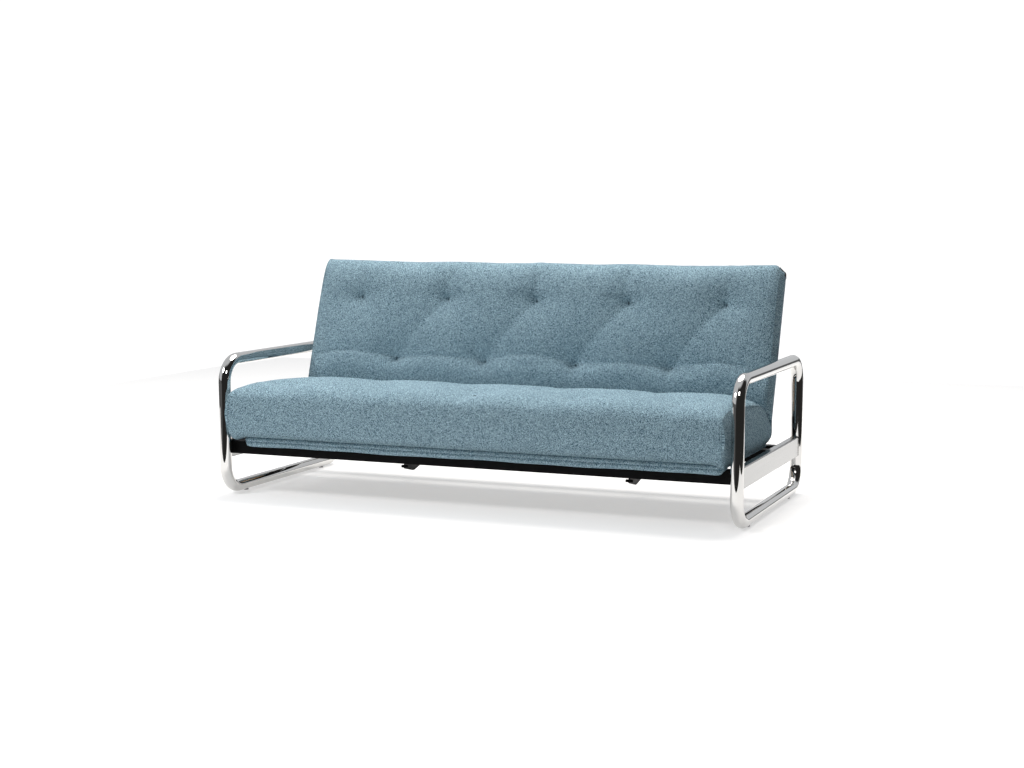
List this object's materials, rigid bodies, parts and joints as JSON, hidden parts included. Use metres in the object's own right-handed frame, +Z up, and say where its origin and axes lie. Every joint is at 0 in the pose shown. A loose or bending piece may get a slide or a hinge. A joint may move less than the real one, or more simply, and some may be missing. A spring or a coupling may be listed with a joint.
{
  "type": "futon sofa bed",
  "caption": "Sofa bed with a tufted blue futon mattress on a black slatted steel deck between two rounded chrome tube loops; the back hinges down flat to make a bed.",
  "frame": {"origin": "on the floor, midway between the two ends and midway between the seat's front edge and the loops' rear", "axes": "+Z up, +Y towards the back, +X towards the right as seen from in front; left and right in the node names are as seen from in front"},
  "size_m": [2.138, 0.999, 0.9223],
  "materials": {
    "chrome_tube": "polished",
    "black_frame": "satin",
    "zinc_steel": "satin",
    "black_plastic": "matte",
    "foot_rubber": "matte",
    "beech": "satin",
    "futon_cover": "matte",
    "pad_cover": "matte",
    "webbing": "matte"
  },
  "bodies": {
    "base": {"loop_left": "chrome_tube", "loop_right": "chrome_tube", "side_rail_left": "chrome_tube", "side_rail_right": "chrome_tube", "front_rail": "black_frame", "hinge_rail": "black_frame", "rear_rail": "black_frame", "rail_end_plates": "black_frame", "rail_bolts": "zinc_steel", "floor_glides": "black_plastic", "seat_slat_1": "beech", "seat_slat_2": "beech", "seat_slat_3": "beech", "seat_slat_4": "beech", "seat_slat_5": "beech", "seat_slat_6": "beech", "seat_slat_7": "beech", "seat_slat_8": "beech", "seat_slat_9": "beech", "seat_slat_holders": "black_plastic", "deck_pad": "pad_cover", "seat_mattress": "futon_cover", "hinge_plate_left": "black_frame", "hinge_plate_right": "black_frame", "end_hinge_left": "black_frame", "end_hinge_right": "black_frame", "hinge_pins": "zinc_steel", "pawl_left": "zinc_steel", "pawl_right": "zinc_steel", "pawl_pins": "zinc_steel"},
    "backrest": {"back_stile_left": "black_frame", "back_stile_right": "black_frame", "back_top_rail": "black_frame", "back_bottom_rail": "black_frame", "back_slat_1": "beech", "back_slat_2": "beech", "back_slat_3": "beech", "back_slat_4": "beech", "back_slat_5": "beech", "back_slat_6": "beech", "back_slat_7": "beech", "back_slat_8": "beech", "back_slat_9": "beech", "back_slat_holders": "black_plastic", "back_lug_left": "black_frame", "back_lug_right": "black_frame", "end_lug_left": "black_frame", "end_lug_right": "black_frame", "ratchet_wheel_left": "zinc_steel", "ratchet_wheel_right": "zinc_steel", "back_mattress": "futon_cover", "corner_strap_left": "webbing", "corner_strap_right": "webbing", "leg_bracket_left": "black_frame", "leg_bracket_right": "black_frame", "leg_bolts": "zinc_steel"},
    "left_leg": {"support_leg_left": "black_frame", "rubber_foot_left": "foot_rubber"},
    "right_leg": {"support_leg_right": "black_frame", "rubber_foot_right": "foot_rubber"}
  },
  "joints": [
    {"name": "back_fold", "type": "hinge", "parent": "base", "child": "backrest", "pos_m": [0, 0.2145, 0.22], "axis": [-1, 0, 0], "range_deg": [0, 70]},
    {"name": "left_leg_fold", "type": "hinge", "parent": "backrest", "child": "left_leg", "pos_m": [-0.6, 0.47638, 0.86057], "axis": [1, 0, 0], "range_deg": [0, 90]},
    {"name": "right_leg_fold", "type": "hinge", "parent": "backrest", "child": "right_leg", "pos_m": [0.6, 0.47638, 0.86057], "axis": [1, 0, 0], "range_deg": [0, 90]}
  ]
}
